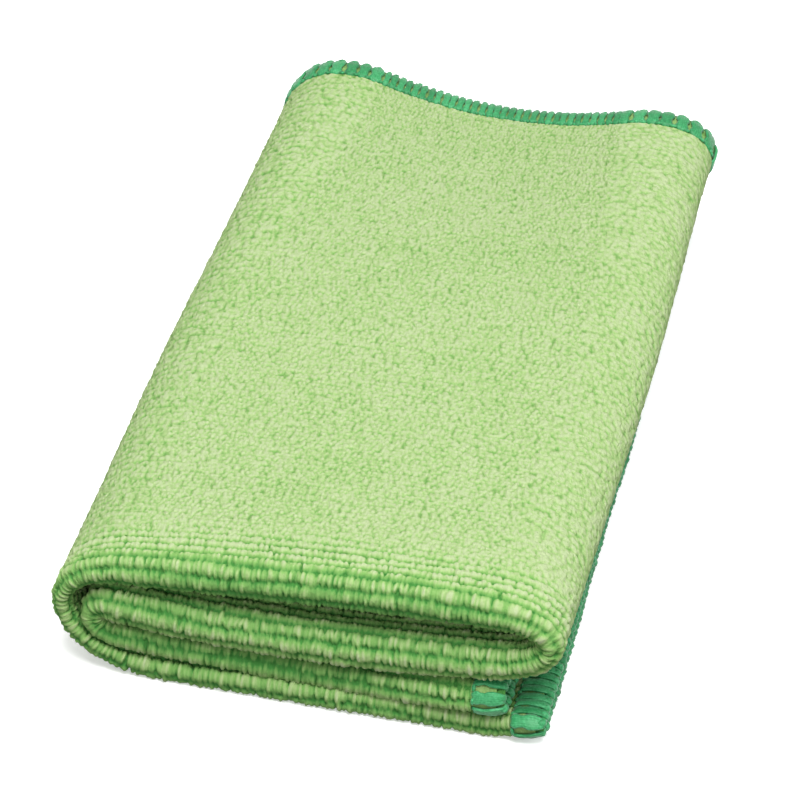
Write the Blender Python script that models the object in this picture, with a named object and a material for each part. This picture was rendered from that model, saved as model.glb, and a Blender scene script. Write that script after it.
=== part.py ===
"""A square microfibre cloth, folded in half and then twice across, lying flat.

The first fold brings two edges together at the back and leaves a rounded fold along the front, so
every layer of the pack is two sheets. Those doubled layers are then folded across: seen from the
front, their middle line starts at the free end at the lower right, runs left under the pack, turns
up round the left side, runs right along the top, turns down at the right, runs back left, turns
down inside the left side and ends at the second free end, a little short of the first.

X runs across the folded front, Y back along the folded length, and Z up. The cloth is centred on
the origin and lies on Z = 0. Its edges are sewn over, not bound, so the whole of it is one sheet.
"""

from collections import namedtuple
from math import cos, pi, radians, sin

import bmesh
import bpy
import numpy as np

MM = 0.001
CLOTH_SIDE = 400 * MM
HALF_CLOTH = CLOTH_SIDE / 2
FLOOR = 0.0

# The doubled layer's middle line at three places along the length, as shares of it from front to
# back. A run is one layer: its heights are those at its start, middle and end, and next_fold is
# how far the fold after it reaches past its end. Millimetres.
Run = namedtuple("Run", "name start_x end_x start_z middle_z end_z next_fold")
Section = namedtuple("Section", "place end_curl runs")
SECTIONS = (
    Section(
        place=0.0,
        end_curl=2.0,
        runs=(
            Run("bottom", 51.9, -27.0, 2.2, 2.2, 2.2, 16.2),
            Run("top", -34.5, 39.0, 25.4, 28.6, 29.8, 12.2),
            Run("second", 41.0, -36.0, 17.9, 15.6, 16.5, 4.9),
            Run("third", -36.0, 43.9, 9.5, 8.2, 9.5, 0),
        ),
    ),
    Section(
        place=0.45,
        end_curl=0.5,
        runs=(
            Run("bottom", 50.0, -28.0, 2.2, 2.2, 2.2, 16.3),
            Run("top", -35.5, 38.0, 24.6, 25.4, 26.2, 12.2),
            Run("second", 40.0, -36.5, 15.1, 14.6, 16.1, 4.9),
            Run("third", -36.5, 41.7, 9.5, 8.2, 8.1, 0),
        ),
    ),
    Section(
        place=1.0,
        end_curl=0.2,
        runs=(
            Run("bottom", 46.0, -30.0, 2.2, 2.2, 2.2, 19.8),
            Run("top", -27.5, 30.5, 26.8, 21.8, 25.4, 16.2),
            Run("second", 34.5, -37.6, 14.6, 14.6, 16.1, 5.0),
            Run("third", -37.6, 41.2, 9.5, 8.2, 8.1, 0),
        ),
    ),
)
CURL_LENGTH = 13 * MM  # of the sewn end at the bottom, which lifts off the surface

# Thickness of one sheet, of the doubled layer behind the front fold, and of the doubled layer at
# the front fold, where the cloth springs open; then how far the front fold stands back. Millimetres.
Stack = namedtuple("Stack", "place sheet pack front set_back")
STACKS = (
    Stack("free end of the bottom run", 2.0, 4.4, 4.6, 0.6),
    Stack("bottom run", 2.3, 5.0, 5.0, 0.9),
    Stack("left fold, outside", 1.7, 3.8, 3.8, 1.3),
    Stack("top run", 2.8, 6.2, 8.2, 0.4),
    Stack("right fold", 2.4, 5.2, 5.4, 0.2),
    Stack("second run", 2.8, 6.2, 8.4, 0.0),
    Stack("left fold, inside", 2.1, 4.6, 4.6, 1.2),
    Stack("third run", 2.2, 4.8, 5.0, 1.9),
    Stack("free end of the third run", 2.4, 5.4, 7.4, -0.4),
)
SPRING_LENGTH = 24 * MM  # how far back the spring of the front fold reaches
PRESSED = 0.05 * MM  # how much the weight of the pack flattens the cloth against the surface

RUN_STEPS = 8
FREE_END_CROWDING = 1.4  # over 1 draws a run's steps closer together towards its free end
FOLD_STEPS = 12
ROUND_STEPS = 8  # round the front fold
LENGTH_STEPS = (5, 5, 7, 10, 14, 20, 28, 33, 36, 42)  # ratios of the steps from front to back


def ease(share):
    """0 to 1 with a level start and end."""
    return share * share * (3 - 2 * share)


def run_points(run, free_start, free_end):
    """A run's middle line: a parabola through its three heights."""
    share = np.linspace(0, 1, RUN_STEPS + 1)
    if free_start:
        share = share**FREE_END_CROWDING
    if free_end:
        share = 1 - (1 - share) ** FREE_END_CROWDING
    x = run.start_x + (run.end_x - run.start_x) * share
    bow = 4 * share * (1 - share) * (run.middle_z - (run.start_z + run.end_z) / 2)
    z = run.start_z + (run.end_z - run.start_z) * share + bow
    return np.stack([x, z], axis=1) * MM


def fold_points(before, after, reach):
    """A fold's middle line: a cubic curve that leaves one run, turns, and enters the next."""
    leave = before[-1] - before[-2]
    enter = after[0] - after[1]
    handle = reach * 4 / 3  # a cubic curve bulges by three quarters of its handles
    corners = (
        before[-1],
        before[-1] + leave / np.linalg.norm(leave) * handle,
        after[0] + enter / np.linalg.norm(enter) * handle,
        after[0],
    )
    share = np.linspace(0, 1, FOLD_STEPS + 1)[1:-1, None]
    weights = ((1 - share) ** 3, 3 * share * (1 - share) ** 2, 3 * share**2 * (1 - share), share**3)
    return sum(weight * corner for weight, corner in zip(weights, corners))


def section_path(section):
    """The whole middle line of a section, from the free end at the bottom to the other one."""
    runs = section.runs
    lines = [run_points(run, run is runs[0], run is runs[-1]) for run in runs]
    path = [lines[0]]
    for run, before, after in zip(runs, lines, lines[1:]):
        path += [fold_points(before, after, run.next_fold * MM), after]
    path = np.concatenate(path)
    from_end = runs[0].start_x * MM - lines[0][:, 0]
    curl = ease(np.clip(1 - from_end / CURL_LENGTH, 0, 1))
    path[: len(curl), 1] += section.end_curl * MM * curl
    return path


def path_at(paths, place):
    """The middle line at a share of the length, between the sections before and behind it."""
    places = np.array([section.place for section in SECTIONS])
    index = min(np.searchsorted(places, place, side="right") - 1, len(places) - 2)
    share = ease((place - places[index]) / (places[index + 1] - places[index]))
    return paths[index] * (1 - share) + paths[index + 1] * share


def outward(path):
    """Unit normals of a middle line, on the outside of the left outer fold."""
    along = np.gradient(path, axis=0)
    along /= np.linalg.norm(along, axis=1)[:, None]
    return np.stack([-along[:, 1], along[:, 0]], axis=1)


def stack_column(name):
    """A column of the stack table, eased from the middle of each run and fold to the next."""
    to_fold = (RUN_STEPS + FOLD_STEPS) / 2
    steps = [RUN_STEPS / 2] + [to_fold] * (len(STACKS) - 3) + [RUN_STEPS / 2]
    knots = np.concatenate([[0], np.cumsum(steps)])
    values = np.array([getattr(row, name) for row in STACKS]) * MM
    point = np.arange(knots[-1] + 1)
    index = np.minimum(np.searchsorted(knots, point, side="right") - 1, len(knots) - 2)
    share = ease((point - knots[index]) / (knots[index + 1] - knots[index]))
    return values[index] * (1 - share) + values[index + 1] * share


def lines_across():
    """(turn, place) for each line of points across the length, from the back edge of the outer
    sheet, round the front fold, to the back edge of the inner sheet. The turn is the angle round
    the front fold, and the place is a share of the length behind it."""
    places = np.cumsum(LENGTH_STEPS) / sum(LENGTH_STEPS)
    turns = np.linspace(-pi / 2, pi / 2, ROUND_STEPS + 1)
    outer = [(-pi / 2, place) for place in places[::-1]]
    inner = [(pi / 2, place) for place in places]
    return outer + [(turn, 0.0) for turn in turns] + inner


def face_points(side):
    """One face of the sheet, as lines of points along the middle line: side is 1 for the face
    outside the doubled layer and -1 for the one inside it."""
    paths = [section_path(section) for section in SECTIONS]
    sheet, pack, front, set_back = (stack_column(name) for name in Stack._fields[1:])
    straight = HALF_CLOTH - pi / 4 * (front - sheet)
    lines = []
    for turn, place in lines_across():
        behind = straight * place
        spring = np.exp(-((behind / SPRING_LENGTH) ** 2))
        doubled = pack + (front - pack) * spring
        reach = (doubled - sheet + side * sheet) / 2
        path = path_at(paths, place)
        path[:, 1] = np.maximum(path[:, 1], FLOOR + doubled / 2 - PRESSED)
        across = path - outward(path) * (reach * sin(turn))[:, None]
        back = set_back + front / 2 + behind - reach * cos(turn)
        lines.append(np.stack([across[:, 0], back, np.maximum(across[:, 1], FLOOR)], axis=1))
    return np.array(lines)


def add_face(shape, points):
    """A grid of quads through lines of points. Returns its open edges."""
    rows, columns = points.shape[:2]
    grid = bmesh.ops.create_grid(shape, x_segments=columns - 1, y_segments=rows - 1, size=1)
    for vert, point in zip(grid["verts"], points.reshape(-1, 3)):
        vert.co = point
    return [edge for vert in grid["verts"] for edge in vert.link_edges if edge.is_boundary]


def cloth_mesh():
    """The folded sheet as one closed mesh, centred on the origin: its two faces and the rim that
    joins their edges."""
    outside, inside = face_points(1), face_points(-1)
    corners = np.concatenate([outside, inside]).reshape(-1, 3)
    centre = (corners.min(axis=0) + corners.max(axis=0)) / 2 * (1, 1, 0)
    shape = bmesh.new()
    edges = add_face(shape, outside - centre) + add_face(shape, inside - centre)
    bmesh.ops.bridge_loops(shape, edges=list(set(edges)))
    bmesh.ops.recalc_face_normals(shape, faces=shape.faces)
    mesh = bpy.data.meshes.new("cloth")
    shape.to_mesh(mesh)
    shape.free()
    return mesh


def microfibre():
    """Knitted microfibre terry: leaf green, dull, with no gloss."""
    material = bpy.data.materials.new("microfibre terry")
    material.use_nodes = True
    shader = material.node_tree.nodes["Principled BSDF"]
    shader.inputs["Base Color"].default_value = (0.28, 0.58, 0.12, 1)
    shader.inputs["Roughness"].default_value = 0.9
    shader.inputs["Metallic"].default_value = 0.0
    return material


def build():
    for thing in list(bpy.data.objects):
        bpy.data.objects.remove(thing, do_unlink=True)
    cloth = bpy.data.objects.new("cloth", cloth_mesh())
    cloth.data.materials.append(microfibre())
    cloth.data.shade_smooth()
    cloth.data.set_sharp_from_angle(angle=radians(40))
    bpy.context.scene.collection.objects.link(cloth)


build()
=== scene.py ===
"""A folded microfibre cloth: a terry square with an overlocked edge, folded in half and then twice
across, lying on a pale surface.

The cloth is designed flat, in its own two directions, and on_cloth carries any point of it to its
place in the folds. s runs from 0 at the lower free end to the cloth's side at the other free end,
and v from the back edge of the outer sheet, which is minus half the side, through 0 at the middle
of the front fold to the back edge of the inner sheet.
"""

from collections import namedtuple
from itertools import product
from math import cos, pi, radians, sin

import bmesh
import bpy
import numpy as np
from mathutils import Matrix, Vector


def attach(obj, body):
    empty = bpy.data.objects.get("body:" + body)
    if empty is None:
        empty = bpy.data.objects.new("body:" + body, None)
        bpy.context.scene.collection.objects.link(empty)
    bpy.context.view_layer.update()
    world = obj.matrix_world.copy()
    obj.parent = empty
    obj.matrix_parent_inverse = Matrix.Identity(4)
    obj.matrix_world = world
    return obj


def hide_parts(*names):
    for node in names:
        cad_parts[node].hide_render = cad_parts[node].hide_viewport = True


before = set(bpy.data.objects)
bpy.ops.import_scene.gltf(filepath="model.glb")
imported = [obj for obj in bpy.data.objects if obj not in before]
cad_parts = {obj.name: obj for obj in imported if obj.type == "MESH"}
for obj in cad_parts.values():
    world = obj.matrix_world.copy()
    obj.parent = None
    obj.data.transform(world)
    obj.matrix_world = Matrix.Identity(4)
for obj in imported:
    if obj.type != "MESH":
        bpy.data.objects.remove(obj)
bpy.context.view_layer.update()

MM = 0.001
RANDOM = np.random.default_rng(11)

# --- the folds, as in the solid -------------------------------------------------------------------

CLOTH_SIDE = 400 * MM
HALF_CLOTH = CLOTH_SIDE / 2
FLOOR = 0.0

# The doubled layer's middle line at three places along the length, as shares of it from front to
# back. A run is one layer: its heights are those at its start, middle and end, and next_fold is
# how far the fold after it reaches past its end. Millimetres.
Run = namedtuple("Run", "name start_x end_x start_z middle_z end_z next_fold")
Section = namedtuple("Section", "place end_curl runs")
SECTIONS = (
    Section(
        place=0.0,
        end_curl=2.0,
        runs=(
            Run("bottom", 51.9, -27.0, 2.2, 2.2, 2.2, 16.2),
            Run("top", -34.5, 39.0, 25.4, 28.6, 29.8, 12.2),
            Run("second", 41.0, -36.0, 17.9, 15.6, 16.5, 4.9),
            Run("third", -36.0, 43.9, 9.5, 8.2, 9.5, 0),
        ),
    ),
    Section(
        place=0.45,
        end_curl=0.5,
        runs=(
            Run("bottom", 50.0, -28.0, 2.2, 2.2, 2.2, 16.3),
            Run("top", -35.5, 38.0, 24.6, 25.4, 26.2, 12.2),
            Run("second", 40.0, -36.5, 15.1, 14.6, 16.1, 4.9),
            Run("third", -36.5, 41.7, 9.5, 8.2, 8.1, 0),
        ),
    ),
    Section(
        place=1.0,
        end_curl=0.2,
        runs=(
            Run("bottom", 46.0, -30.0, 2.2, 2.2, 2.2, 19.8),
            Run("top", -27.5, 30.5, 26.8, 21.8, 25.4, 16.2),
            Run("second", 34.5, -37.6, 14.6, 14.6, 16.1, 5.0),
            Run("third", -37.6, 41.2, 9.5, 8.2, 8.1, 0),
        ),
    ),
)
CURL_LENGTH = 13 * MM  # of the sewn end at the bottom, which lifts off the surface

# Thickness of one sheet, of the doubled layer behind the front fold, and of the doubled layer at
# the front fold, where the cloth springs open; then how far the front fold stands back. Millimetres.
Stack = namedtuple("Stack", "place sheet pack front set_back")
STACKS = (
    Stack("free end of the bottom run", 2.0, 4.4, 4.6, 0.6),
    Stack("bottom run", 2.3, 5.0, 5.0, 0.9),
    Stack("left fold, outside", 1.7, 3.8, 3.8, 1.3),
    Stack("top run", 2.8, 6.2, 8.2, 0.4),
    Stack("right fold", 2.4, 5.2, 5.4, 0.2),
    Stack("second run", 2.8, 6.2, 8.4, 0.0),
    Stack("left fold, inside", 2.1, 4.6, 4.6, 1.2),
    Stack("third run", 2.2, 4.8, 5.0, 1.9),
    Stack("free end of the third run", 2.4, 5.4, 7.4, -0.4),
)
SPRING_LENGTH = 24 * MM  # how far back the spring of the front fold reaches
PRESSED = 0.05 * MM  # how much the weight of the pack flattens the cloth against the surface

FINE = 6  # steps here to one of the solid's
RUN_STEPS = 8 * FINE
FOLD_STEPS = 12 * FINE
CELL = 0.5 * MM  # of the grid that carries the flat cloth to its folds


def ease(share):
    """0 to 1 with a level start and end."""
    return share * share * (3 - 2 * share)


def run_points(run):
    """A run's middle line: a parabola through its three heights."""
    share = np.linspace(0, 1, RUN_STEPS + 1)
    x = run.start_x + (run.end_x - run.start_x) * share
    bow = 4 * share * (1 - share) * (run.middle_z - (run.start_z + run.end_z) / 2)
    z = run.start_z + (run.end_z - run.start_z) * share + bow
    return np.stack([x, z], axis=1) * MM


def fold_points(before, after, reach):
    """A fold's middle line: a cubic curve that leaves one run, turns, and enters the next."""
    leave = before[-1] - before[-2]
    enter = after[0] - after[1]
    handle = reach * 4 / 3  # a cubic curve bulges by three quarters of its handles
    corners = (
        before[-1],
        before[-1] + leave / np.linalg.norm(leave) * handle,
        after[0] + enter / np.linalg.norm(enter) * handle,
        after[0],
    )
    share = np.linspace(0, 1, FOLD_STEPS + 1)[1:-1, None]
    weights = ((1 - share) ** 3, 3 * share * (1 - share) ** 2, 3 * share**2 * (1 - share), share**3)
    return sum(weight * corner for weight, corner in zip(weights, corners))


def section_path(section):
    """The whole middle line of a section, from the free end at the bottom to the other one."""
    lines = [run_points(run) for run in section.runs]
    path = [lines[0]]
    for run, before, after in zip(section.runs, lines, lines[1:]):
        path += [fold_points(before, after, run.next_fold * MM), after]
    path = np.concatenate(path)
    from_end = section.runs[0].start_x * MM - lines[0][:, 0]
    curl = ease(np.clip(1 - from_end / CURL_LENGTH, 0, 1))
    path[: len(curl), 1] += section.end_curl * MM * curl
    return path


def middle_path(place):
    """The middle line at shares of the length, between the sections before and behind each."""
    path = 0
    for before, after in zip(SECTIONS, SECTIONS[1:]):
        here = (place >= before.place) & ((place < after.place) | (after is SECTIONS[-1]))
        share = ease(np.clip((place - before.place) / (after.place - before.place), 0, 1))[..., None]
        between = section_path(before) * (1 - share) + section_path(after) * share
        path = path + between * here[..., None]
    return path


def eased_column(table, name):
    """A column of the stack table, or of one like it, eased from the middle of each run and fold
    to the next."""
    to_fold = (RUN_STEPS + FOLD_STEPS) / 2
    steps_between = [RUN_STEPS / 2] + [to_fold] * (len(table) - 3) + [RUN_STEPS / 2]
    knots_at = np.concatenate([[0], np.cumsum(steps_between)])
    values = np.array([getattr(row, name) for row in table])
    point = np.arange(knots_at[-1] + 1)
    index = np.minimum(np.searchsorted(knots_at, point, side="right") - 1, len(knots_at) - 2)
    share = ease((point - knots_at[index]) / (knots_at[index + 1] - knots_at[index]))
    return values[index] * (1 - share) + values[index + 1] * share


def folded_faces():
    """The face outside the doubled layer and the one inside it, each with rows along v and a
    column for each fine step of the middle line."""
    v = np.linspace(-HALF_CLOTH, HALF_CLOTH, round(CLOTH_SIDE / CELL) + 1)[:, None]
    sheet, pack, front, set_back = (eased_column(STACKS, name)[None] * MM for name in Stack._fields[1:])
    quarter = pi / 4 * (front - sheet)  # of the way round the front fold, at the middle surface
    turn = np.clip(v / quarter, -1, 1) * pi / 2
    behind = np.maximum(np.abs(v) - quarter, 0)
    path = middle_path(behind / (HALF_CLOTH - quarter))
    doubled = pack + (front - pack) * np.exp(-((behind / SPRING_LENGTH) ** 2))
    path[..., 1] = np.maximum(path[..., 1], FLOOR + doubled / 2 - PRESSED)
    along = np.gradient(path, axis=1)
    along /= np.linalg.norm(along, axis=2, keepdims=True)
    faces = []
    for side in (1, -1):
        reach = (doubled - sheet + side * sheet) / 2
        x = path[..., 0] + along[..., 1] * reach * np.sin(turn)
        y = set_back + front / 2 + behind - reach * np.cos(turn)
        z = path[..., 1] - along[..., 0] * reach * np.sin(turn)
        faces.append(np.stack([x, y, np.maximum(z, FLOOR)], axis=2))
    return faces


def folded_grid():
    """The cloth's middle surface and the vector from it to the face outside the doubled layer, on
    an even grid of the flat cloth, and then s at each fine step of the middle line."""
    outside, inside = folded_faces()
    centre = (outside.min(axis=(0, 1)) + outside.max(axis=(0, 1))) / 2 * (1, 1, 0)
    both = np.concatenate([(outside + inside) / 2 - centre, (outside - inside) / 2], axis=2)
    # s follows the front fold's own line, so that rows of tufts stay square to each other where
    # the outer sheet is drawn out round a fold and the inner one is crowded.
    front_line = both[len(both) // 2, :, :3]
    so_far = np.concatenate([[0], np.cumsum(np.linalg.norm(np.diff(front_line, axis=0), axis=1))])
    share = so_far / so_far[-1]
    step = np.interp(np.linspace(0, 1, len(both)), share, np.arange(len(share)))
    at = np.minimum(step.astype(int), len(share) - 2)
    over = (step - at)[:, None]
    return both[:, at] * (1 - over) + both[:, at + 1] * over, share * CLOTH_SIDE


GRID, STEP_S = folded_grid()


def fold_ends():
    """s where each fold begins and ends."""
    folds = range(len(SECTIONS[0].runs) - 1)
    starts = [RUN_STEPS + fold * (RUN_STEPS + FOLD_STEPS) for fold in folds]
    return [STEP_S[step] for start in starts for step in (start, start + FOLD_STEPS)]


LEFT_FROM, LEFT_TO, RIGHT_FROM, RIGHT_TO, INNER_FROM, INNER_TO = fold_ends()


def sampled(s, v):
    """The middle surface and the half thickness vector at points of the flat cloth. Past an edge
    they run straight on."""
    s, v = np.broadcast_arrays(s, v)
    column, row = s / CELL, (v + HALF_CLOTH) / CELL
    j = np.clip(np.floor(column).astype(int), 0, GRID.shape[1] - 2)
    i = np.clip(np.floor(row).astype(int), 0, GRID.shape[0] - 2)
    over, down = (column - j)[..., None], (row - i)[..., None]
    upper = GRID[i, j] * (1 - over) + GRID[i, j + 1] * over
    lower = GRID[i + 1, j] * (1 - over) + GRID[i + 1, j + 1] * over
    return np.split(upper * (1 - down) + lower * down, 2, axis=-1)


def on_cloth(s, v, height):
    """A point of the flat cloth, in its folds: height is 1 on the face outside the doubled layer,
    0 in the middle of the sheet and -1 on the face inside it. No point goes below the surface that
    the cloth lies on."""
    middle, half = sampled(s, v)
    point = middle + half * np.asarray(height)[..., None]
    point[..., 2] = np.maximum(point[..., 2], FLOOR)
    return point


def unit(vectors):
    """The same directions, each one long."""
    return vectors / np.maximum(np.linalg.norm(vectors, axis=-1, keepdims=True), 1e-9)


def steps(*stops):
    """Lines from the first place to the last, with the step between two places given between them:
    place, step, place, step, place. All in metres."""
    lines = [np.array([stops[0]])]
    for start, step, end in zip(stops[::2], stops[1::2], stops[2::2]):
        lines.append(np.linspace(start, end, max(round(abs(end - start) / step), 1) + 1)[1:])
    return np.concatenate(lines)


# --- meshes ---------------------------------------------------------------------------------------


def new_piece(name, mesh, material):
    """A smooth piece that rides with the cloth."""
    piece = bpy.data.objects.new(name, mesh)
    bpy.context.scene.collection.objects.link(piece)
    mesh.materials.append(material)
    mesh.shade_smooth()
    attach(piece, "root")
    return piece


def add_attribute(mesh, name, values):
    """A number for each point of a mesh, which its material reads."""
    layer = mesh.attributes.new(name, "FLOAT", "POINT")
    layer.data.foreach_set("value", np.ascontiguousarray(values, dtype=np.float32).ravel())


def add_map(mesh, name, places):
    """A UV map, with a place for each corner of each face."""
    mesh.uv_layers.new(name=name).data.foreach_set("uv", places.astype(np.float32).ravel())


def add_face(shape, points):
    """A grid of quads through lines of points. Returns its open edges."""
    rows, columns = points.shape[:2]
    grid = bmesh.ops.create_grid(shape, x_segments=columns - 1, y_segments=rows - 1, size=1)
    for vert, point in zip(grid["verts"], points.reshape(-1, 3)):
        vert.co = point
    return [edge for vert in grid["verts"] for edge in vert.link_edges if edge.is_boundary]


# A shape that is repeated for each stitch: its points, the numbers of each face's points, and its
# bake map, if it has one, with a place for each corner of each face.
Shape = namedtuple("Shape", "points faces bake")
LUMP_FULLNESS = 0.85  # 1 is a ball, and less is boxier
LUMP_BAKE = 0.48  # radius of a lump in its cell of the bake map, as a share of the cell


def points_and_faces(shape):
    """The points of a bmesh and the numbers of each face's points. Frees the bmesh."""
    shape.verts.index_update()
    points = np.array([vert.co for vert in shape.verts])
    faces = [[vert.index for vert in face.verts] for face in shape.faces]
    shape.free()
    return points, faces


def lump(segments, rings):
    """A unit lump with its height along z. Its bake map is seen from the tip and spread flat out to
    the root, with each face of the root's fan as a petal."""
    shape = bmesh.new()
    bmesh.ops.create_uvsphere(shape, u_segments=segments, v_segments=rings, radius=1)
    bmesh.ops.triangulate(shape, faces=shape.faces)
    sphere, faces = points_and_faces(shape)
    pole = np.isclose(np.abs(sphere[:, 2]), 1)
    bake = []
    for face in faces:
        middle = np.mean([sphere[corner] for corner in face if not pole[corner]], axis=0)
        for corner in face:
            x, y, _ = middle if pole[corner] else sphere[corner]
            turned = np.arctan2(y, x)
            out = np.arccos(np.clip(sphere[corner][2], -1, 1)) / pi * LUMP_BAKE
            bake.append((0.5 + out * cos(turned), 0.5 + out * sin(turned)))
    return Shape(np.sign(sphere) * np.abs(sphere) ** LUMP_FULLNESS, faces, np.array(bake))


def tube(sides, rings):
    """A closed unit tube along z, with its rings one apart and the first at 0."""
    length = rings - 1
    shape = bmesh.new()
    bmesh.ops.create_cone(shape, cap_ends=True, segments=sides, radius1=1, radius2=1, depth=length)
    lengthwise = [edge for edge in shape.edges if edge.verts[0].co.z * edge.verts[1].co.z < 0]
    bmesh.ops.subdivide_edges(shape, edges=lengthwise, cuts=rings - 2, use_grid_fill=True)
    bmesh.ops.translate(shape, verts=shape.verts, vec=(0, 0, length / 2))
    return Shape(*points_and_faces(shape), None)


# --- materials ------------------------------------------------------------------------------------

# The front fold opens the pile, fully up to OPEN_TO from its middle and not past OPEN_FROM.
OPEN_FROM, OPEN_TO = 18 * MM, 6 * MM
# From the tips of the pile, which are at 0, to 1 mm below them, darker and greener with depth: partly the
# pile's own colour, partly painted shade in its crevices.
PILE_COLOURS_AND_SHADE = ((0.0, "#A6B58A"), (0.2, "#96B074"), (0.45, "#77A259"), (1.0, "#41803B"))
# From the darkest stitch to the lightest.
THREAD_COLOURS = ((0.2, "#115D32"), (0.6, "#24844B"), (1.0, "#49A96E"))


def linear(colour):
    """An sRGB hex colour as the linear colour that Blender's sockets take."""
    parts = [int(colour[at : at + 2], 16) / 255 for at in (1, 3, 5)]
    return [part / 12.92 if part <= 0.04045 else ((part + 0.055) / 1.055) ** 2.4 for part in parts] + [1]


def feed(tree, target, inputs):
    """Gives inputs of a node, by name or number, a value or what feeds them: an output, or a node
    for its first output."""
    for name, value in inputs.items():
        if isinstance(value, bpy.types.Node):
            value = value.outputs[0]
        if isinstance(value, bpy.types.NodeSocket):
            tree.links.new(value, target.inputs[name])
        else:
            target.inputs[name].default_value = value


def node(tree, kind, inputs=None, stops=(), **settings):
    """Adds a node with its inputs, as feed takes them, and its settings. stops are those of a
    colour ramp: (place, sRGB colour)."""
    made = tree.nodes.new(kind)
    for name, value in settings.items():
        setattr(made, name, value)
    feed(tree, made, inputs or {})
    for index, (place, colour) in enumerate(stops):
        elements = made.color_ramp.elements
        element = elements[index] if index < len(elements) else elements.new(place)
        element.position, element.color = place, linear(colour)
    return made


def blend(tree, value, parts):
    """value + (part - middle) * share for each of the parts: (part, middle, share)."""
    for part, middle, share in parts:
        off = node(tree, "ShaderNodeMath", {0: part, 1: middle}, operation="SUBTRACT")
        value = node(tree, "ShaderNodeMath", {0: off, 1: share, 2: value}, operation="MULTIPLY_ADD")
    return value


def new_material(name):
    """A material, its node tree and its shader."""
    material = bpy.data.materials.new(name)
    material.use_nodes = True
    return material, material.node_tree, material.node_tree.nodes["Principled BSDF"]


def cloth_material():
    """Knitted microfibre: split polyester filament, soft and without gloss, with a faint bloom of
    light at its rim. It is palest at the tips of its tufts and darker and greener towards the
    roots: partly the pile's own colour, which shows most where a fold opens the pile, and partly
    painted shade in the crevices between tufts and rows. Light and darker patches, where the pile
    lies one way or the other, are 28 mm and 7 mm across. Where the pile lies flat, its loops are
    lumps of 0.9 mm by 1.45 mm, with painted shade in the creases between them. The filaments are
    drawn as strands of 0.3 mm by 1.6 mm, coarser than the real ones, which are too fine to show."""
    material, tree, shader = new_material("microfibre terry, knitted split polyester")
    sunk = node(tree, "ShaderNodeAttribute", attribute_name="sunk").outputs["Fac"]
    tuft = node(tree, "ShaderNodeAttribute", attribute_name="tuft").outputs["Fac"]
    flat = node(tree, "ShaderNodeUVMap", uv_map="flat")
    sized = {}  # the flat cloth's own directions, in steps of a pattern's size in millimetres
    for name, across, along in (
        ("wide", 28, 28),
        ("small", 7, 9),
        ("strand", 0.3, 1.6),
        ("tangle", 0.45, 0.6),
        ("loops", 0.9, 1.45),
    ):
        scale = (1 / (across * MM), 1 / (along * MM), 1)
        sized[name] = node(tree, "ShaderNodeMapping", {"Vector": flat, "Scale": scale})
    noise = {}
    for name in ("wide", "small", "strand", "tangle"):
        size = {"Vector": sized[name], "Scale": 1.0, "Detail": 2.0}
        noise[name] = node(tree, "ShaderNodeTexNoise", size, noise_dimensions="2D")
    size = {"Vector": sized["loops"], "Scale": 1.0}
    loops = node(tree, "ShaderNodeTexVoronoi", size, voronoi_dimensions="2D")
    place = node(tree, "ShaderNodeSeparateXYZ", {"Vector": flat})
    off_front = node(tree, "ShaderNodeMath", {0: place.outputs["Y"]}, operation="ABSOLUTE")
    opened = {"From Min": OPEN_TO, "From Max": OPEN_FROM, "To Min": 0.3, "To Max": 1.0}
    lying = node(tree, "ShaderNodeMapRange", {"Value": off_front, **opened})
    domed = node(tree, "ShaderNodeMath", {0: loops, 1: loops}, operation="MULTIPLY")
    valley = node(tree, "ShaderNodeMath", {0: domed, 1: lying}, operation="MULTIPLY")
    # valley makes the creases between the flat lumps greener and darker, which is painted shade, and it
    # also gives the bump its relief. tuft and the noises are the pile's own tone.
    shades = (
        (valley, 0.2, 0.4),
        (tuft, 0.5, 0.08),
        (noise["wide"], 0.5, 0.15),
        (noise["small"], 0.5, 0.15),
        (noise["strand"], 0.5, 0.12),
        (noise["tangle"], 0.5, 0.16),
    )
    shade = blend(tree, sunk, shades)
    relief = blend(tree, noise["tangle"], ((noise["strand"], 0.5, 0.6), (valley, 0.5, -1.8)))
    inputs = {
        "Base Color": node(tree, "ShaderNodeValToRGB", {"Fac": shade}, PILE_COLOURS_AND_SHADE),
        "Normal": node(tree, "ShaderNodeBump", {"Height": relief, "Strength": 0.9, "Distance": 0.3 * MM}),
        "Roughness": 0.95,
        "Specular IOR Level": 0.08,
        "Sheen Weight": 0.2,
        "Sheen Roughness": 0.6,
        "Sheen Tint": linear("#B4DC86"),
    }
    feed(tree, shader, inputs)
    return material


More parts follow.
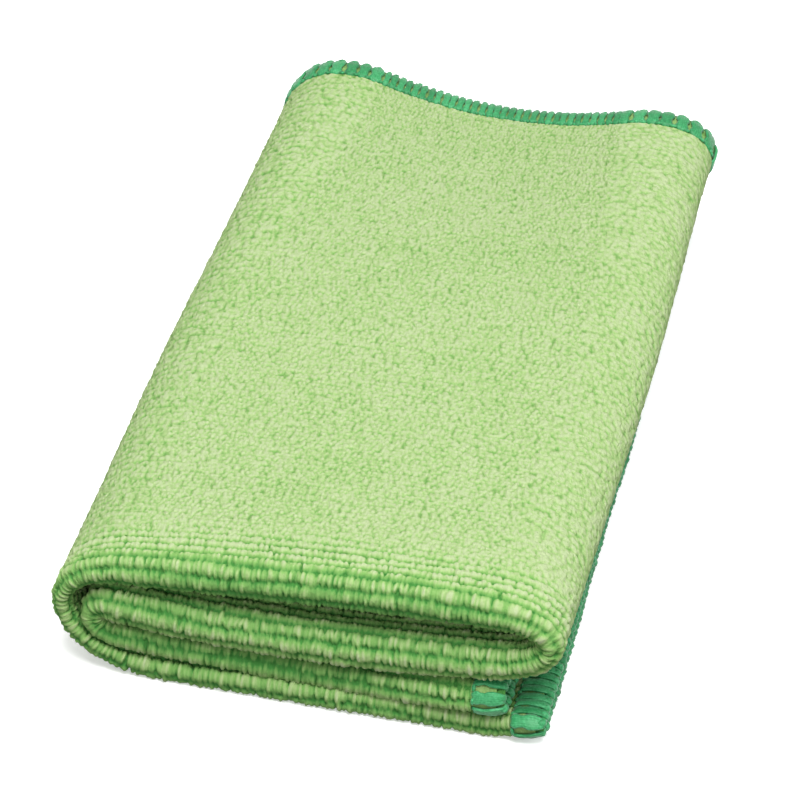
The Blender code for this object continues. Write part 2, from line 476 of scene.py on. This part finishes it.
def thread_material():
    """Overlock thread: textured polyester filament in emerald green, with a low satin gloss along
    its strands and painted sheen in lighter and darker stripes along them. The strands are drawn
    0.3 mm apart, the real ones being too fine to show."""
    material, tree, shader = new_material("overlock thread, textured polyester")
    strand = node(tree, "ShaderNodeAttribute", attribute_name="strand").outputs["Fac"]
    tuft = node(tree, "ShaderNodeAttribute", attribute_name="tuft").outputs["Fac"]
    place = node(tree, "ShaderNodeTexCoord").outputs["Object"]
    turned = node(tree, "ShaderNodeMath", {0: strand, 1: 2 * pi}, operation="MULTIPLY")
    wave = node(tree, "ShaderNodeMath", {0: turned}, operation="SINE")
    fibre = node(tree, "ShaderNodeTexNoise", {"Vector": place, "Scale": 1 / (0.5 * MM), "Detail": 3.0})
    # Stripes along the strands, with a little noise: relief for the bump and, through the colour ramp,
    # painted sheen.
    relief_and_sheen = node(tree, "ShaderNodeMath", {0: wave, 1: 0.08, 2: fibre}, operation="MULTIPLY_ADD")
    shade = node(tree, "ShaderNodeMath", {0: tuft, 1: 0.3, 2: relief_and_sheen}, operation="MULTIPLY_ADD")
    inputs = {
        "Base Color": node(tree, "ShaderNodeValToRGB", {"Fac": shade}, THREAD_COLOURS),
        "Normal": node(tree, "ShaderNodeBump", {"Height": relief_and_sheen, "Strength": 0.7, "Distance": 0.1 * MM}),
        "Roughness": 0.5,
        "Specular IOR Level": 0.4,
        "Sheen Weight": 0.15,
    }
    feed(tree, shader, inputs)
    return material


def acrylic_material():
    """White acrylic with a matt face, lit from below, which keeps it evenly white."""
    material, tree, shader = new_material("white acrylic, lit from below")
    glow = {"Emission Color": (1, 1, 1, 1), "Emission Strength": 0.3}
    feed(tree, shader, {"Base Color": linear("#F8F8F8"), "Roughness": 0.9, **glow})
    return material


CLOTH = cloth_material()
THREAD = thread_material()

# --- the sheet ------------------------------------------------------------------------------------

SEWN = 6.6 * MM  # width of the overlocked edge
GROUND = 0.24  # how far out the knitted ground stands, as a share of half the sheet
GROUND_STEP = 4  # fine steps to one of the ground's
ROUND_FRONT = 14 * MM  # from the front fold's middle, where a sheet's lines lie close together
ROOTS = 1.0  # how far the roots of the pile lie below its tips, in millimetres


def sheet_piece(name, upper, lower, sunk=ROOTS, tuft=0.5):
    """A closed sheet between two grids of the flat cloth, each (s, v, height). sunk is how far each
    point of the upper one lies below the tips of its tufts in millimetres, with any painted shade
    added, which the colour ramp turns darker and greener, and tuft a number of each tuft's own."""
    upper, lower = np.broadcast_arrays(*upper), np.broadcast_arrays(*lower)
    above, below = upper[0].size, lower[0].size
    shape = bmesh.new()
    rims = [add_face(shape, on_cloth(*grid)) for grid in (upper, lower)]
    for edge in rims[0]:
        edge.smooth = False
    bmesh.ops.bridge_loops(shape, edges=list(dict.fromkeys(rims[0] + rims[1])))
    bmesh.ops.recalc_face_normals(shape, faces=shape.faces)
    mesh = bpy.data.meshes.new(name)
    shape.to_mesh(mesh)
    shape.free()
    for attribute, values, beneath in (("sunk", sunk, ROOTS), ("tuft", tuft, 0.5)):
        values = np.broadcast_to(values, upper[0].shape).ravel()
        add_attribute(mesh, attribute, np.concatenate([values, np.full(below, beneath)]))
    flat = np.concatenate([np.stack(grid[:2], axis=-1).reshape(-1, 2) for grid in (upper, lower)])
    # In the bake map the upper grid takes all but a strip, and the lower one takes the strip.
    bake = (flat - flat.min(axis=0)) / (flat.max(axis=0) - flat.min(axis=0))
    bake[:above, 1] = 0.1 + 0.9 * bake[:above, 1]
    bake[above:, 1] *= 0.08
    corner = np.empty(len(mesh.loops), dtype=np.int32)
    mesh.loops.foreach_get("vertex_index", corner)
    add_map(mesh, "flat", flat[corner])
    add_map(mesh, "OFBake", bake[corner])
    return new_piece(name, mesh, CLOTH)


def ground_sheet():
    """The knitted ground that the tufts stand on: the whole sheet in its folds."""
    s = STEP_S[::GROUND_STEP]
    v = steps(-HALF_CLOTH, 6 * MM, -ROUND_FRONT, 1 * MM, ROUND_FRONT, 6 * MM, HALF_CLOTH)[:, None]
    # The ground takes the colour ramp's deepest green: partly its own colour, partly painted shade, as it
    # shows only deep in the pile.
    return sheet_piece("cloth_sheet", (s, v, GROUND), (s, v, -GROUND))


# --- the pile -------------------------------------------------------------------------------------

ROWS = round(CLOTH_SIDE / (2.3 * MM))  # of tufts, which run along the front fold
TUFTS = round(CLOTH_SIDE / (1.1 * MM))  # in each row
ROW, TUFT = CLOTH_SIDE / ROWS, CLOTH_SIDE / TUFTS
# Each tuft splits into two lobes, staggered where the pile lies flat and side by side where a fold
# opens it into ribs. Each lobe has five numbers of its own: stray, drift, turn, size and height.
LOBES = RANDOM.normal(size=(ROWS + 1, TUFTS, 2, 5)).clip(-2, 2)
OWN_SHADE = 0.4  # share of a lobe's shade that is its own, and not its tuft's
SHADES = RANDOM.random((ROWS + 1, TUFTS, 2)) * OWN_SHADE
SHADES += RANDOM.random((ROWS + 1, TUFTS, 1)) * (1 - OWN_SHADE)
ROW_STARTS = RANDOM.random(ROWS + 1) * TUFT
ROW_WAVER = 0.08  # how far a row strays from straight, as a share of a row
WAVERS = ((9 * MM, 0.7), (4.3 * MM, 2.1))  # its two sines: length of a radian, and lag per row
LOBE_UNEVEN = 0.14  # how much the widths of lobes vary, as a share
LOBE_SQUARE = 2.5  # across it, where 2 is round and more is boxy

# The pile where a fold opens it into ribs, and where it lies flat. Along a row, as shares of a
# tuft: spread parts a tuft's lobes, wide is half a lobe, and stray is how far lobes stray. Across
# it, as shares of a row: stagger, long and drift are the same. lean turns all lobes and turn each
# one, in radians. uneven and ragged are how much heights and lengths vary, as shares. depth is from
# tips to roots, in millimetres, and least is the height between lobes, as a share of it. square
# over 2 makes a lobe boxy lengthwise, and a smaller round makes its top flatter.
Pile = namedtuple(
    "Pile", "spread stagger wide long stray drift turn lean uneven depth least square round ragged"
)
RIBS = Pile(0.20, 0.0, 0.54, 0.54, 0.12, 0.05, 0.26, 0.00, 0.12, 1.25, 0.0, 2.2, 0.48, 0.07)
FLAT = Pile(0.50, 0.5, 0.56, 0.31, 0.14, 0.06, 0.30, 0.10, 0.12, 0.42, 0.15, 2.0, 0.60, 0.10)
LEFT_OPEN = 0.5  # how far the left fold opens the pile, from flat to ribs
LEFT_MARGIN = 6 * MM  # how far past its ends it does so

# Along the front fold: off is how far its rows lie off its middle, as a share of a row. outer and
# inner are how far its tufts puff out past the solid in the outer and the inner sheet, and
# outer_green_shade and inner_green_shade how much further below the tips their colour starts,
# which makes the pile greener and darker: partly the opened pile's own colour, partly painted
# shade under the layers' overhangs and between the layers. Millimetres.
Front = namedtuple("Front", "place off outer inner outer_green inner_green")
FRONT = (
    Front("free end of the bottom run", 0.5, 0.1, 0.4, 0.35, 0.25),
    Front("bottom run", 0.5, 0.1, 0.7, 0.50, 0.36),
    Front("left fold, outside", 0.2, 0.0, 0.2, 0.30, 0.40),
    Front("top run", 0.0, 0.0, 0.4, 0.35, 0.70),
    Front("right fold", 0.0, 0.0, 0.2, 0.20, 0.35),
    Front("second run", 0.0, 0.8, 0.0, 0.20, 0.42),
    Front("left fold, inside", 0.25, 0.4, 0.4, 0.35, 0.40),
    Front("third run", 0.5, -0.2, 1.5, 0.65, 0.30),
    Front("free end of the third run", 0.5, 0.0, 0.6, 0.35, 0.30),
)
FRONT_OFF, *FRONT_SIDES = (eased_column(FRONT, name) for name in Front._fields[1:])
GREEN_FROM, GREEN_TO = 8 * MM, 3 * MM  # from the fold's middle, where these begin and are whole
SHADE_INWARDS = 1.8  # times as far in the inner sheet, which faces the next layer: painted shade between the layers


def row_line(row, s):
    """v of the middle of a row of tufts, which wavers a little along its length."""
    waver = sum(np.sin(s / length + lag * row) for length, lag in WAVERS)
    return (row + np.interp(s, STEP_S, FRONT_OFF) + ROW_WAVER * waver) * ROW - HALF_CLOTH


def openness(s, v):
    """How far the folds open the pile, from 0 where it lies flat to 1 where it stands in ribs."""
    at_front = ease(np.clip((OPEN_FROM - np.abs(v)) / (OPEN_FROM - OPEN_TO), 0, 1))
    off_left = np.abs(s - (LEFT_FROM + LEFT_TO) / 2) / ((LEFT_TO - LEFT_FROM) / 2 + LEFT_MARGIN)
    return np.maximum(at_front, LEFT_OPEN * ease(np.clip(1 - off_left, 0, 1)))


def puff_and_green_shade(s, v):
    """What the front fold adds to the pile's height and to the depth of its colour, in
    millimetres. The deeper colour is partly the opened pile's own and partly painted shade, most in
    the inner sheet between the layers."""
    far = np.where(v > 0, v / SHADE_INWARDS, -v)
    near = ease(np.clip((GREEN_FROM - far) / (GREEN_FROM - GREEN_TO), 0, 1))
    inwards = ease(np.clip(v / (2 * ROW) + 0.5, 0, 1))
    outer, inner, outer_green_shade, inner_green_shade = (np.interp(s, STEP_S, column) for column in FRONT_SIDES)
    puff = outer + (inner - outer) * inwards
    green = outer_green_shade + (inner_green_shade - outer_green_shade) * inwards
    return puff * near, green * near


def lobe_dome(s, v, form, row, rows_near, tuft, lobe):
    """Height of a lobe over points of the flat cloth, about 1 at its tip and 0 past its rim.
    rows_near holds v of the row before, of its own and of the one after."""
    before, line, after = rows_near
    stray, drift, turn, size, tall = np.moveaxis(LOBES[row, tuft, lobe], -1, 0)
    side = lobe - 0.5
    across = s - ROW_STARTS[row] - (tuft + 0.5 + side * form.spread + stray * form.stray) * TUFT
    along = v - line - (side * form.stagger + drift * form.drift) * ROW
    room = np.where(along > 0, after - line, line - before)
    turned = form.lean + turn * form.turn
    half_width = form.wide * TUFT * (1 + LOBE_UNEVEN * size)
    half_length = form.long * room * (1 + form.ragged * size)
    x = (across * np.cos(turned) + along * np.sin(turned)) / half_width
    y = (along * np.cos(turned) - across * np.sin(turned)) / half_length
    out = np.abs(x) ** LOBE_SQUARE + np.abs(y) ** form.square
    return np.clip(1 - out, 0, None) ** form.round * (1 + tall * form.uneven)


def pile_form(s, v):
    """Height as on_cloth takes it, depth below the tips in millimetres with the front fold's deeper colour
    added, partly painted shade, and each lobe's own random tone.
    """
    s, v = np.broadcast_arrays(s, v)
    opened = openness(s, v)
    form = Pile(*(flat + (rib - flat) * opened for rib, flat in zip(RIBS, FLAT)))
    best, shade = np.zeros(s.shape), np.full(s.shape, 0.5)
    own_row = np.round((v + HALF_CLOTH) / ROW - np.interp(s, STEP_S, FRONT_OFF)).astype(int)
    for row_step in (-1, 0, 1):
        row = np.clip(own_row + row_step, 0, ROWS)
        rows_near = [row_line(row + step, s) for step in (-1, 0, 1)]
        own_tuft = np.floor((s - ROW_STARTS[row]) / TUFT).astype(int)
        for tuft_step, lobe in product((-1, 0, 1), (0, 1)):
            tuft = np.clip(own_tuft + tuft_step, 0, TUFTS - 1)
            dome = lobe_dome(s, v, form, row, rows_near, tuft, lobe)
            shade = np.where(dome > best, SHADES[row, tuft, lobe], shade)
            best = np.maximum(best, dome)
    sunk = (1 - np.maximum(best, form.least)) * form.depth
    puff, green = puff_and_green_shade(s, v)
    half = np.linalg.norm(sampled(s, v)[1], axis=-1)
    return 1 + (puff - sunk) * MM / half, sunk + green, shade


def every_fourth(lines):
    """About every fourth line, with the first and the last."""
    return lines[np.unique(np.linspace(0, len(lines) - 1, len(lines) // 4 + 2).astype(int))]


def pile(name, s_lines, v_lines):
    """The pile over a part of the outside face, closed below inside the sheet."""
    s, v = s_lines[None], v_lines[:, None]
    height, sunk, shade = pile_form(s, v)
    beneath = (every_fourth(s_lines)[None], every_fourth(v_lines)[:, None], 0.0)
    return sheet_piece(name, (s, v, height), beneath, sunk, shade)


# The patches of pile and the lines that they are drawn on, which lie closest where the tufts show
# best: round the front fold and on the top. Round the front fold a patch ends at RIB_BAND outside
# and, between two layers, at GAP_BAND.
RIB_BAND, GAP_BAND, BACK_BAND = 4.5 * ROW, 6.5 * ROW, HALF_CLOTH - SEWN
TOP_SPLIT = -40 * ROW  # between the two patches of the top
RIGHT_COARSE = -10 * ROW  # behind which the right side's lines lie further apart
RIGHT_MARGIN = 8 * MM  # how far past the right fold its pile runs on
LOWER_END_SHOWS = 24 * MM  # how much of the lower free end's inner sheet can be seen
FRONT_LINES = steps(-RIB_BAND, 0.29 * MM, RIB_BAND, 0.46 * MM, GAP_BAND)
RIGHT_LINES = steps(-BACK_BAND, 0.75 * MM, RIGHT_COARSE, 0.5 * MM, -RIB_BAND)
Patch = namedtuple("Patch", "name s_lines v_lines")
PATCHES = (
    Patch("pile_front_bottom_run", steps(SEWN, 0.28 * MM, LEFT_FROM), FRONT_LINES),
    Patch("pile_front_left_fold", steps(LEFT_FROM, 0.27 * MM, LEFT_TO), FRONT_LINES),
    Patch("pile_front_top_run", steps(LEFT_TO, 0.25 * MM, RIGHT_FROM), FRONT_LINES),
    Patch("pile_front_right_fold", steps(RIGHT_FROM, 0.27 * MM, RIGHT_TO), FRONT_LINES),
    Patch("pile_front_second_run", steps(RIGHT_TO, 0.25 * MM, INNER_FROM), FRONT_LINES),
    Patch("pile_front_inner_fold", steps(INNER_FROM, 0.27 * MM, INNER_TO), FRONT_LINES),
    Patch("pile_front_third_run", steps(INNER_TO, 0.28 * MM, CLOTH_SIDE - SEWN), FRONT_LINES),
    Patch(
        "pile_top_front",
        steps(LEFT_TO, 0.25 * MM, RIGHT_FROM),
        steps(TOP_SPLIT, 0.38 * MM, -RIB_BAND),
    ),
    Patch(
        "pile_top_back",
        steps(LEFT_TO, 0.29 * MM, RIGHT_FROM),
        steps(-BACK_BAND, 0.44 * MM, TOP_SPLIT),
    ),
    Patch(
        "pile_left",
        steps(LEFT_FROM, 0.5 * MM, LEFT_TO),
        steps(-BACK_BAND, 0.57 * MM, -RIB_BAND),
    ),
    Patch(
        "pile_right",
        steps(RIGHT_FROM, 0.4 * MM, RIGHT_TO, 0.7 * MM, RIGHT_TO + RIGHT_MARGIN),
        RIGHT_LINES,
    ),
    Patch(
        "pile_underside",
        steps(SEWN, 1.2 * MM, LEFT_FROM),
        steps(-BACK_BAND, 1.5 * MM, -RIB_BAND),
    ),
    Patch(
        "pile_by_lower_end",
        steps(SEWN, 0.55 * MM, LOWER_END_SHOWS),
        steps(GAP_BAND, 1.0 * MM, BACK_BAND),
    ),
)
pieces = [pile(*patch) for patch in PATCHES]

# --- the overlocked edge --------------------------------------------------------------------------

STITCHES = round(CLOTH_SIDE / (2.3 * MM))  # along each side
STITCH = CLOTH_SIDE / STITCHES
PROBE = 0.3 * MM  # between two points that give a direction on the cloth

# A rung is the thread of one stitch: from the needle line, across the outside face, round the
# edge and onto the other face. inward is its distance from the edge, height as in on_cloth, lift
# how far it stands off the face, and width the share of the stitch that it spreads over. The lens
# shaped holes are where it is narrow. inward and lift in millimetres.
Rung = namedtuple("Rung", "inward height lift width")
RUNG = (
    Rung(6.6, 0.70, -0.35, 0.55),
    Rung(6.0, 0.85, 0.12, 0.84),
    Rung(5.4, 0.85, 0.28, 0.94),
    Rung(4.6, 0.85, 0.32, 0.76),
    Rung(3.8, 0.85, 0.32, 0.74),
    Rung(3.0, 0.85, 0.30, 0.95),
    Rung(2.2, 0.84, 0.20, 0.98),
    Rung(1.5, 0.80, 0.05, 0.92),
    Rung(0.8, 0.68, 0.00, 0.84),
    Rung(0.1, 0.35, 0.00, 0.76),
    Rung(0.1, -0.35, 0.00, 0.76),
    Rung(1.0, -0.75, 0.10, 0.84),
    Rung(2.6, -0.80, 0.10, 0.84),
)
RUNG_SIDES = 8
RUNG_THICK = 1.05 * MM
RUNG_TAPER = 0.35  # thickness of its two ends, as a share
STRANDS_DIP = 0.35  # of the groove between a rung's two strands, as a share of half its thickness
FILAMENTS = 3.2  # drawn across half a rung
SLANT = 0.06  # of a rung along the edge, as a share of a stitch
RUNG_VARIES = 0.05  # how far rungs are out of place and out of slant, as shares of a stitch
RUNG_WIDTH_VARIES = 0.06  # as a share

# A lump of thread for each stitch: a knot on the edge of each rung, and a needle stitch between two
# rungs. inward and height are as a rung's, and lift is how far it stands off that height. wide is
# half its size along the edge, deep half that across it and thick half its thickness. phase is its
# place along the stitch, where 0 is between two rungs. Millimetres but for height and phase.
Lump = namedtuple("Lump", "name shape inward height lift wide deep thick phase")
KNOT, NEEDLE_STITCH = lump(segments=8, rings=4), lump(segments=6, rings=4)
LUMPS = (
    Lump("overlock_knots", KNOT, 0.4, 0.0, 0.0, 0.95, 1.0, 1.1, 0.5),
    Lump("needle_stitches", NEEDLE_STITCH, 6.2, 0.9, 0.15, 0.6, 0.45, 0.4, 0.0),
)
LUMP_OUT_OF_LINE = 0.06  # along the edge, as a share of a stitch
LUMP_OUT_OF_DEPTH = 0.05 * MM
LUMP_VARIES = 0.08  # in size
LUMP_WOBBLE = 0.04  # of each of its points, and twice that at most


def edge_point(edge, inward, along):
    """(s, v) of a point by its distance inwards from an edge and its place along it."""
    if edge == "lower end":
        return inward, along - HALF_CLOTH
    if edge == "upper end":
        return CLOTH_SIDE - inward, along - HALF_CLOTH
    if edge == "back, outer sheet":
        return along, inward - HALF_CLOTH
    return along, HALF_CLOTH - inward


def thread_piece(name, shape, points, strand, tufts):
    """Copies of a shape as one piece of thread: points has a row for each copy, strand runs from
    one side of each to the other, and tufts has a number for each."""
    count, corners = points.shape[:2]
    firsts = range(0, count * corners, corners)
    faces = [[first + corner for corner in face] for first in firsts for face in shape.faces]
    points[..., 2] = np.maximum(points[..., 2], FLOOR)
    mesh = bpy.data.meshes.new(name)
    mesh.from_pydata(points.reshape(-1, 3), [], faces)
    add_attribute(mesh, "strand", np.broadcast_to(strand, (count, corners)))
    add_attribute(mesh, "tuft", np.broadcast_to(tufts[:, None], (count, corners)))
    if shape.bake is not None:
        across = int(np.ceil(np.sqrt(count)))
        cell = np.stack([np.arange(count) % across, np.arange(count) // across], axis=1)
        add_map(mesh, "OFBake", (cell[:, None] + shape.bake) / across)
    return new_piece(name, mesh, THREAD)


def rung_line(finer):
    """The rows of the rung table with so many steps from one to the next, lift and width easing."""
    table = np.array(RUNG, dtype=float)
    fine = np.linspace(0, len(RUNG) - 1, (len(RUNG) - 1) * finer + 1)
    at = np.minimum(fine.astype(int), len(RUNG) - 2)
    share = (fine - at)[:, None] * (1, 1, 0, 0) + ease(fine - at)[:, None] * (0, 0, 1, 1)
    return (table[at] * (1 - share) + table[at + 1] * share).T


def rungs(name, edges, finer):
    """The rungs along some edges. Each is a tube of thread along the rows of the rung table, with
    a groove on each face that parts it into two strands."""
    inward, height, lift, width = rung_line(finer)
    shape = tube(RUNG_SIDES, len(inward))
    sideways, rise, ring = shape.points.T
    ring = np.round(ring).astype(int)
    mid_face, end = np.abs(rise) > 0.9, (ring == 0) | (ring == ring.max())
    rise = rise * np.where(mid_face, STRANDS_DIP, 1) * np.where(end, RUNG_TAPER, 1)
    points, tufts = [], []
    for edge in edges:
        middles = np.arange(STITCHES)[:, None] + 0.5
        along = (middles + RANDOM.normal(0, RUNG_VARIES, (STITCHES, 1))) * STITCH
        slant = RANDOM.normal(SLANT, RUNG_VARIES, (STITCHES, 1)) * STITCH
        size = 1 + RANDOM.normal(0, RUNG_WIDTH_VARIES, (STITCHES, 1))
        at = along + slant * inward / inward.max()
        deep = np.broadcast_to(inward * MM, at.shape)
        s, v = edge_point(edge, deep, at)
        middle, half = sampled(s, v)
        lifted = unit(half) * (np.sign(height) * lift * MM)[:, None]
        centre = middle + half * height[:, None] + lifted
        beside = on_cloth(*edge_point(edge, deep, at + PROBE), height)
        over = (beside - on_cloth(s, v, height)) / PROBE
        wide = over * (width * size * STITCH / 2)[..., None]
        thick = unit(np.cross(np.gradient(centre, axis=1), over)) * RUNG_THICK / 2
        points.append(centre[:, ring] + wide[:, ring] * sideways[:, None] + thick[:, ring] * rise[:, None])
        tufts.append(RANDOM.random(STITCHES))
    return thread_piece(name, shape, np.concatenate(points), sideways * FILAMENTS, np.concatenate(tufts))


def lumps(name, edges, kind):
    """A lump of thread for each stitch along some edges."""
    centres, axes = [], []
    for edge in edges:
        along = (np.arange(STITCHES) + kind.phase + RANDOM.normal(0, LUMP_OUT_OF_LINE, STITCHES)) * STITCH
        deep = kind.inward * MM + RANDOM.normal(0, LUMP_OUT_OF_DEPTH, STITCHES)
        s, v = edge_point(edge, deep, along)
        here = on_cloth(s, v, kind.height)
        outer = on_cloth(*edge_point(edge, deep - PROBE, along), kind.height)
        beside = on_cloth(*edge_point(edge, deep, along + PROBE), kind.height)
        up = unit(sampled(s, v)[1])
        grown = (1 + RANDOM.normal(0, LUMP_VARIES, (STITCHES, 1))) * MM
        x_axis = (beside - here) / PROBE * kind.wide * grown
        y_axis = unit(outer - here) * kind.deep * grown
        z_axis = up * kind.thick * MM
        # Along some edges these axes are left-handed, which would turn the lumps inside out.
        hand = np.sign(np.sum(np.cross(x_axis, y_axis) * z_axis, axis=1))[:, None]
        centres.append(here + up * kind.lift * MM)
        axes.append(np.stack([x_axis * hand, y_axis, z_axis], axis=1))
    centres, axes = np.concatenate(centres), np.concatenate(axes)
    wobble = RANDOM.normal(0, LUMP_WOBBLE, (len(centres), len(kind.shape.points), 1))
    wobbled = kind.shape.points * (1 + wobble.clip(-2 * LUMP_WOBBLE, 2 * LUMP_WOBBLE))
    points = centres[:, None] + np.einsum("nka,nab->nkb", wobbled, axes)
    return thread_piece(name, kind.shape, points, kind.shape.points[:, 0], RANDOM.random(len(centres)))


END_EDGES = ("lower end", "upper end")
BACK_EDGES = ("back, outer sheet", "back, inner sheet")
for place, edges, finer in (("free_ends", END_EDGES, 2), ("back_edges", BACK_EDGES, 1)):
    pieces.append(rungs(f"overlock_{place}", edges, finer))
    pieces += [lumps(f"{kind.name}_{place}", edges, kind) for kind in LUMPS]

# The cloth that shows between the stitches.
SEAM_CLOTH = 0.74  # how far out it stands, as a share of half the sheet
SEAM_SUNK = 0.4  # how far below the tips of the pile its colour lies, in millimetres
IN_FROM_EDGE = steps(1.6 * MM, 0.9 * MM, SEWN + 0.2 * MM)
TO_CORNER = HALF_CLOTH - 1 * MM  # from the middle of an end almost to its corners
ALL_ALONG = steps(-TO_CORNER, 3 * MM, -ROUND_FRONT, 0.7 * MM, ROUND_FRONT, 3 * MM, TO_CORNER)
ALL_ACROSS = steps(SEWN, 1.2 * MM, CLOTH_SIDE - SEWN)
for name, s_lines, v_lines in (
    ("cloth_in_seam_lower_end", IN_FROM_EDGE, ALL_ALONG),
    ("cloth_in_seam_upper_end", CLOTH_SIDE - IN_FROM_EDGE[::-1], ALL_ALONG),
    ("cloth_in_seam_back_outer", ALL_ACROSS, IN_FROM_EDGE - HALF_CLOTH),
    ("cloth_in_seam_back_inner", ALL_ACROSS, HALF_CLOTH - IN_FROM_EDGE[::-1]),
):
    s, v = s_lines[None], v_lines[:, None]
    pieces.append(sheet_piece(name, (s, v, SEAM_CLOTH), (s, v, -SEAM_CLOTH), sunk=SEAM_SUNK))

sheet = ground_sheet()
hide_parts("cloth")

# --- surface, light and camera --------------------------------------------------------------------

FLOOR_REACH = 3.0  # from the middle of the floor to its sides, in metres

# Round lights that face the cloth: place and size in metres, power in watts.
Light = namedtuple("Light", "name place size power")
LIGHTS = (
    Light("key", (0.2, -0.55, 1.3), 0.8, 21.5),
    Light("overhead", (-0.3, 0.2, 1.4), 1.2, 5),
    Light("front", (0.1, -1.5, 0.75), 0.8, 7),
    Light("right", (1.5, 0.3, 0.8), 0.8, 9),
    Light("left", (-1.5, 0.1, 0.8), 0.8, 4),
)
SKY = 0.33  # strength of the light from all round

# The camera, from the photograph's own perspective: it looks at a point in the cloth.
AZIMUTH, ELEVATION, ROLL = radians(11.833), radians(34.505), radians(2.046)
AIM = np.array((-1.928, -2.401, 9.274)) * MM
DISTANCE = 1000 * MM
PHOTO_SIDE = 800  # pixels
FOCAL = 4643.8  # pixels
SENSOR = 36  # millimetres


def add_floor():
    """The surface that the cloth lies on."""
    shape = bmesh.new()
    bmesh.ops.create_grid(shape, x_segments=1, y_segments=1, size=FLOOR_REACH)
    mesh = bpy.data.meshes.new("floor")
    shape.to_mesh(mesh)
    shape.free()
    mesh.materials.append(acrylic_material())
    floor = bpy.data.objects.new("floor", mesh)
    bpy.context.scene.collection.objects.link(floor)
    floor.visible_diffuse = False  # as in the photograph, little light comes back up from it


def add_light(light):
    """A light of the table, turned to face the cloth."""
    disk = bpy.data.lights.new(light.name, "AREA")
    disk.shape, disk.size, disk.energy = "DISK", light.size, light.power
    lamp = bpy.data.objects.new(light.name, disk)
    lamp.location = light.place
    lamp.rotation_euler = (-Vector(light.place)).to_track_quat("-Z", "Y").to_euler()
    bpy.context.scene.collection.objects.link(lamp)


def add_sky():
    """White light from all round."""
    world = bpy.data.worlds.new("studio")
    world.use_nodes = True
    tree = world.node_tree
    feed(tree, tree.nodes["Background"], {"Color": (1, 1, 1, 1), "Strength": SKY})
    bpy.context.scene.world = world


def add_camera():
    """The camera in its place, turned to its aim and then by its roll."""
    back = np.array((sin(AZIMUTH) * cos(ELEVATION), -cos(AZIMUTH) * cos(ELEVATION), sin(ELEVATION)))
    right = unit(np.cross(-back, (0, 0, 1)))
    up = np.cross(back, right)
    rolled = (right * cos(ROLL) + up * sin(ROLL), up * cos(ROLL) - right * sin(ROLL), back)
    turned = Matrix([Vector(axis) for axis in rolled]).transposed().to_4x4()
    lens = bpy.data.cameras.new("camera")
    lens.sensor_width = SENSOR
    lens.lens = FOCAL / PHOTO_SIDE * SENSOR
    lens.clip_start = 50 * MM
    camera = bpy.data.objects.new("camera", lens)
    camera.matrix_world = Matrix.Translation(Vector(AIM + back * DISTANCE)) @ turned
    bpy.context.scene.collection.objects.link(camera)
    bpy.context.scene.camera = camera


add_floor()
for light in LIGHTS:
    add_light(light)
add_sky()
add_camera()
bpy.context.scene.view_settings.view_transform = "Standard"  # shows colours as they are
